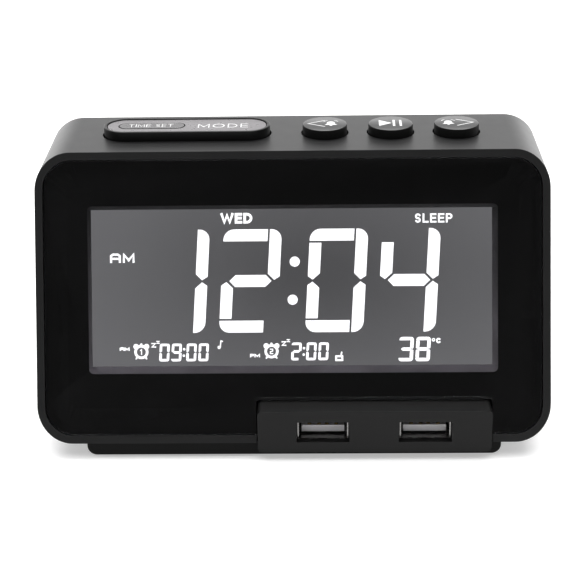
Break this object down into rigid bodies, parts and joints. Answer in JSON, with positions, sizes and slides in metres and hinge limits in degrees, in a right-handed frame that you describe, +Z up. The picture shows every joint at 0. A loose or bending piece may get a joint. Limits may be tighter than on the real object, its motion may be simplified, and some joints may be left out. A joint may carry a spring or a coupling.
{
  "type": "clock radio",
  "caption": "Bedside clock radio: wedge-fronted case with an inset display window, keys on top, USB sockets in a front block, and a speaker and sockets at the back.",
  "frame": {"origin": "on the surface it stands on, under the middle of the whole radio", "axes": "+Z up, the display faces -Y, +X to the right seen from the front"},
  "size_m": [0.133, 0.058, 0.0772],
  "materials": {
    "case_plastic": "fine satin moulded black ABS",
    "block_plastic": "fine matt moulded dark grey ABS",
    "bezel_plastic": "satin black ABS",
    "frame_plastic": "matt dark grey",
    "smoked_acrylic": "polished smoked acrylic",
    "mask_ink": "black ink behind the panel",
    "display_glass": "grey display cell",
    "clear_acrylic": "clear",
    "white_film": "white",
    "mirror_film": "mirror",
    "led": "emissive",
    "silicone": "soft",
    "circuit_board": "solder resist",
    "chip_resin": "moulded",
    "tinned_steel": "tinned",
    "bright_steel": "plated",
    "capacitor_sleeve": "shrunk sleeve",
    "ivory_plastic": "nylon",
    "white_plastic": "white nylon",
    "gold_contact": "gold plated",
    "zinc_screw": "zinc plated",
    "black_screw": "black oxide",
    "key_plate": "light grey with a satin face",
    "key_inner": "grey, satin",
    "button_cap": "satin grey top",
    "lead_sleeve": "sleeve",
    "black_nylon": "nylon",
    "speaker_steel": "pressed",
    "ferrite": "ferrite",
    "cone_paper": "coated paper",
    "copper_coil": "wound copper wire",
    "grille_fabric": "woven",
    "rubber": "matt"
  },
  "bodies": {
    "case": {"main_case": "case_plastic", "rear_cover": "case_plastic", "base_plinth": "case_plastic", "rubber_feet": "rubber", "front_panel": "smoked_acrylic", "panel_mask": "mask_ink", "lcd_frame": "frame_plastic", "lcd_glass": "display_glass", "light_guide": "clear_acrylic", "diffuser_film": "white_film", "reflector_film": "mirror_film", "backlight_board": "white_film", "backlight_leds": "led", "zebra_strip": "silicone", "main_board": "circuit_board", "main_chip": "chip_resin", "radio_module": "tinned_steel", "capacitors": "capacitor_sleeve", "wire_connectors": "ivory_plastic", "display_screws": "zinc_screw", "usb_housing": "block_plastic", "usb_shells": "bright_steel", "usb_tongues": "white_plastic", "usb_contacts": "gold_contact", "usb_board": "circuit_board", "usb_lead": "lead_sleeve", "key_bezel": "bezel_plastic", "key_switches": "tinned_steel", "key_board": "circuit_board", "board_screws": "zinc_screw", "key_ribbon": "lead_sleeve", "rear_board": "circuit_board", "dc_jack": "black_nylon", "aux_jack": "black_nylon", "antenna_gland": "black_nylon", "speaker_basket": "speaker_steel", "speaker_magnet": "ferrite", "speaker_yoke": "tinned_steel", "speaker_surround": "rubber", "speaker_screws": "zinc_screw", "speaker_lead": "lead_sleeve", "power_lead": "lead_sleeve", "grille_cloth": "grille_fabric", "coin_cell": "bright_steel", "cell_contacts": "gold_contact", "cover_screws": "black_screw", "base_screws": "black_screw"},
    "mode_key": {"mode_key": "key_plate", "mode_plunger": "black_nylon"},
    "time_set_key": {"time_set_key": "key_inner", "time_set_plunger": "black_nylon"},
    "back_button": {"back_button": "button_cap", "back_plunger": "black_nylon"},
    "play_button": {"play_button": "button_cap", "play_plunger": "black_nylon"},
    "forward_button": {"forward_button": "button_cap", "forward_plunger": "black_nylon"},
    "speaker_cone": {"speaker_cone": "cone_paper", "voice_coil": "copper_coil"},
    "battery_door": {"battery_door": "case_plastic"}
  },
  "joints": [
    {"name": "mode_key_press", "type": "slide", "parent": "case", "child": "mode_key", "axis": [0, 0, -1], "range_m": [0, 0.0006], "stiffness_N_per_m": 400},
    {"name": "time_set_key_press", "type": "slide", "parent": "case", "child": "time_set_key", "axis": [0, 0, -1], "range_m": [0, 0.0006], "stiffness_N_per_m": 400},
    {"name": "back_button_press", "type": "slide", "parent": "case", "child": "back_button", "axis": [0, 0, -1], "range_m": [0, 0.0006], "stiffness_N_per_m": 400},
    {"name": "play_button_press", "type": "slide", "parent": "case", "child": "play_button", "axis": [0, 0, -1], "range_m": [0, 0.0006], "stiffness_N_per_m": 400},
    {"name": "forward_button_press", "type": "slide", "parent": "case", "child": "forward_button", "axis": [0, 0, -1], "range_m": [0, 0.0006], "stiffness_N_per_m": 400},
    {"name": "cone_stroke", "type": "slide", "parent": "case", "child": "speaker_cone", "axis": [0, 1, 0], "range_m": [-0.0005, 0.0005], "stiffness_N_per_m": 800},
    {"name": "battery_door_lift", "type": "slide", "parent": "case", "child": "battery_door", "axis": [0, 1, 0], "range_m": [0, 0.015]}
  ]
}
